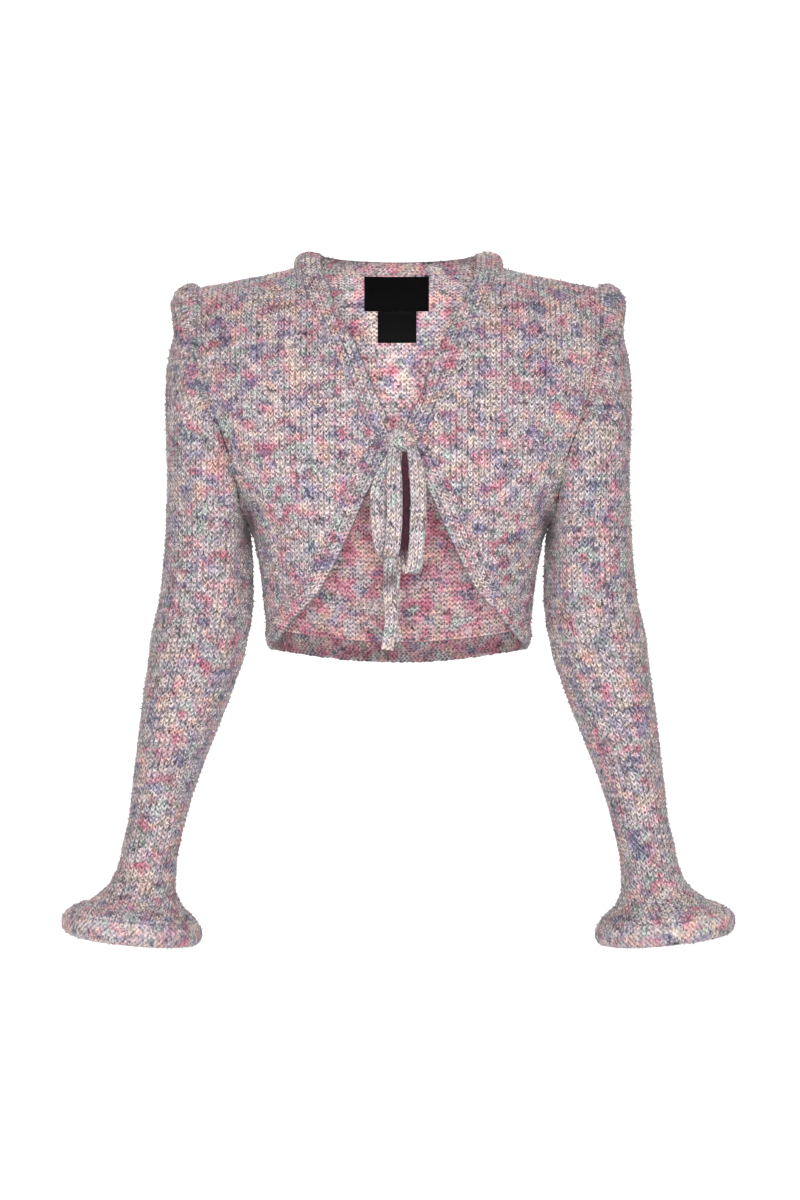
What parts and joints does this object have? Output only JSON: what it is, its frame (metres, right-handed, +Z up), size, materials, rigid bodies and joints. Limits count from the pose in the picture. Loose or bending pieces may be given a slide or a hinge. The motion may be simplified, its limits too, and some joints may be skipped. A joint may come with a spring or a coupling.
{
  "type": "cropped tie-front cardigan",
  "caption": "Cropped long-sleeved knitted cardigan with flared sleeve ends, tied at the bust, filled out and open at neck, hem, cuffs and armholes.",
  "frame": {"origin": "between the shoulders on the wearer's mid plane, level with the shoulder seams, where the wearer holds the garment", "axes": "+Z up, -Y towards the wearer's front, +X towards the wearer's left"},
  "size_m": [0.664, 0.2326, 0.6904],
  "materials": {
    "knit": "slub cotton yarn in space-dyed greys, pinks and slate, plain knit",
    "band_knit": "the same yarn knitted denser, edges rolled",
    "tie_knit": "narrow strap of the same yarn",
    "woven_label": "black woven satin, bare"
  },
  "bodies": {
    "root": {"back": "knit", "front_right": "knit", "front_left": "knit", "sleeve_right": "knit", "sleeve_left": "knit", "neck_band": "band_knit", "front_band_right": "band_knit", "front_band_left": "band_knit", "hem_band": "band_knit", "tie_knot": "tie_knit", "tie_loop_right": "tie_knit", "tie_loop_left": "tie_knit", "tie_end_right": "tie_knit", "tie_end_left": "tie_knit", "main_label": "woven_label", "care_label": "woven_label"}
  },
  "joints": []
}
